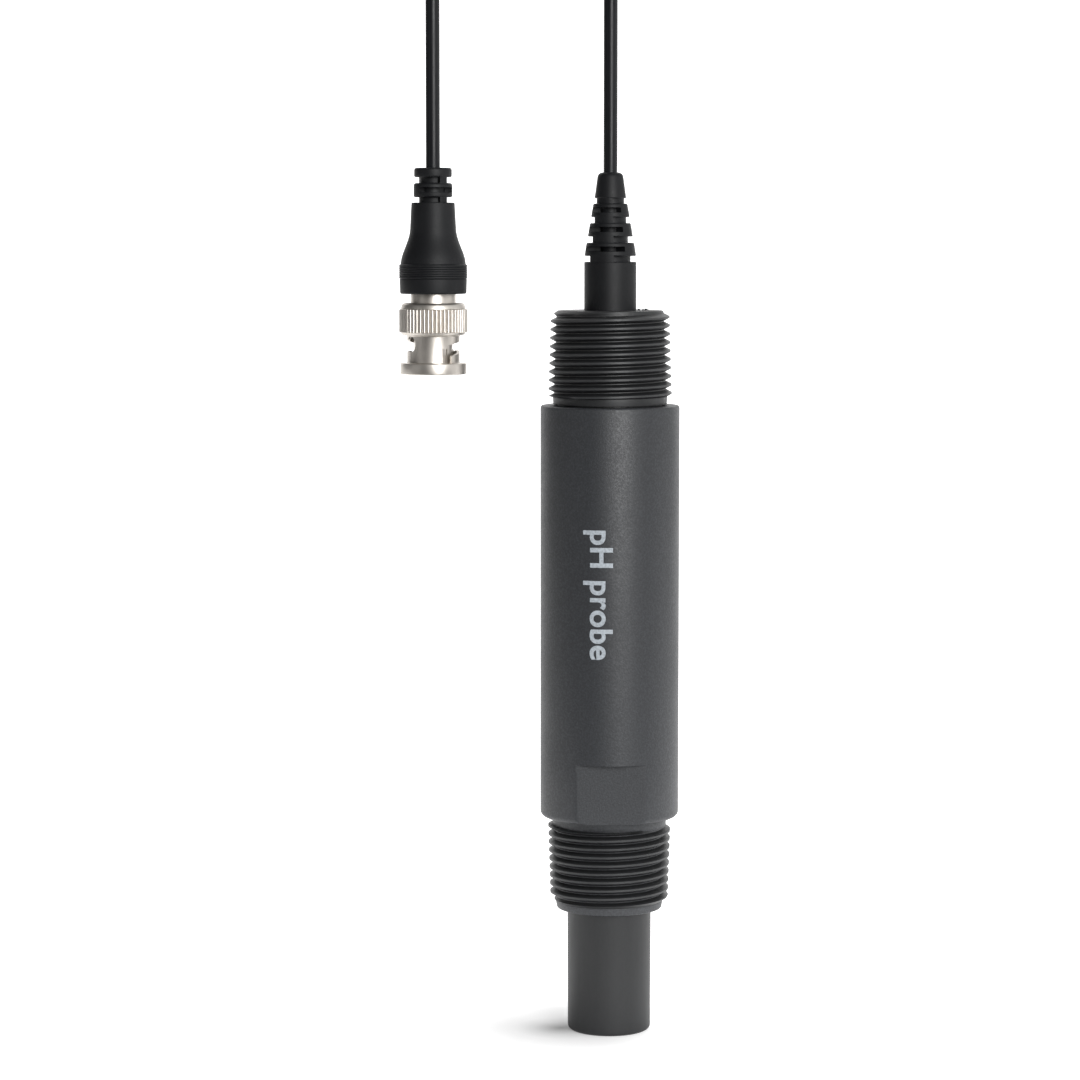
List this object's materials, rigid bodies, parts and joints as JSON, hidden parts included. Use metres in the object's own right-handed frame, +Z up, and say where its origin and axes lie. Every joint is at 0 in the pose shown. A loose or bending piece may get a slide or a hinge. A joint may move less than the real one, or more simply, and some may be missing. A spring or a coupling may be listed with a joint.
{
  "type": "inline ph probe",
  "caption": "Inline water-quality probe: grey barrel with a taper pipe thread at each end, recessed glass bulb in a tip sleeve, strain relief and coaxial lead with a bayonet plug.",
  "frame": {"origin": "centre of the process thread's end face, on the probe's axis, where the probe enters its fitting", "axes": "+Z up the probe's axis towards the lead, -Y towards the front wrench flat, +X completes a right-handed frame; the lead's plug hangs towards -X"},
  "size_m": [0.0595, 0.0435, 0.2692],
  "materials": {
    "housing_plastic": "moulded mid grey, fine pebbled texture",
    "cap_plastic": "moulded dark grey",
    "boot_rubber": "soft satin black",
    "cable_jacket": "smooth black jacket",
    "tie_plastic": "black nylon strap",
    "seal_rubber": "matt black",
    "clear_glass": "polished clear glass",
    "porous_white": "white fluoropolymer",
    "potting_resin": "cast epoxy",
    "silver_wire": "drawn silver",
    "nickel_plate": "warm nickel plating, lightly satin",
    "gold_plate": "gold plating"
  },
  "bodies": {
    "probe": {"housing": "housing_plastic", "rear_threaded_cap": "cap_plastic", "cap_o_ring": "seal_rubber", "strain_relief": "boot_rubber", "sensing_bulb": "clear_glass", "glass_stem": "clear_glass", "measuring_wire": "silver_wire", "reference_wire": "silver_wire", "junction_ring": "porous_white", "tip_o_ring": "seal_rubber", "stem_spacer": "porous_white", "stem_seal": "seal_rubber", "signal_lead": "cable_jacket", "reference_lead": "cable_jacket", "potting_plug": "potting_resin", "inner_cable": "cable_jacket", "cable_riser": "cable_jacket", "cable_coil": "cable_jacket", "cable_drop": "cable_jacket", "cable_tie": "tie_plastic", "wave_washer": "nickel_plate", "retaining_ring": "nickel_plate", "plug_body": "nickel_plate", "outer_contact": "nickel_plate", "insulator": "porous_white", "centre_pin": "gold_plate", "plug_gasket": "seal_rubber", "crimp_ferrule": "nickel_plate", "plug_boot": "boot_rubber"},
    "thrust_washer": {"thrust_washer": "nickel_plate"},
    "coupling_nut": {"coupling_nut": "nickel_plate"}
  },
  "joints": [
    {"name": "nut_draw", "type": "slide", "parent": "probe", "child": "thrust_washer", "axis": [0, 0, -1], "range_m": [0, 0.0005], "stiffness_N_per_m": 2000, "springref_m": -0.0005, "deforming": ["wave_washer"]},
    {"name": "nut_turn", "type": "hinge", "parent": "thrust_washer", "child": "coupling_nut", "pos_m": [-0.03738, -0.02135, 0.1246], "axis": [0, 0, 1], "continuous": true}
  ]
}
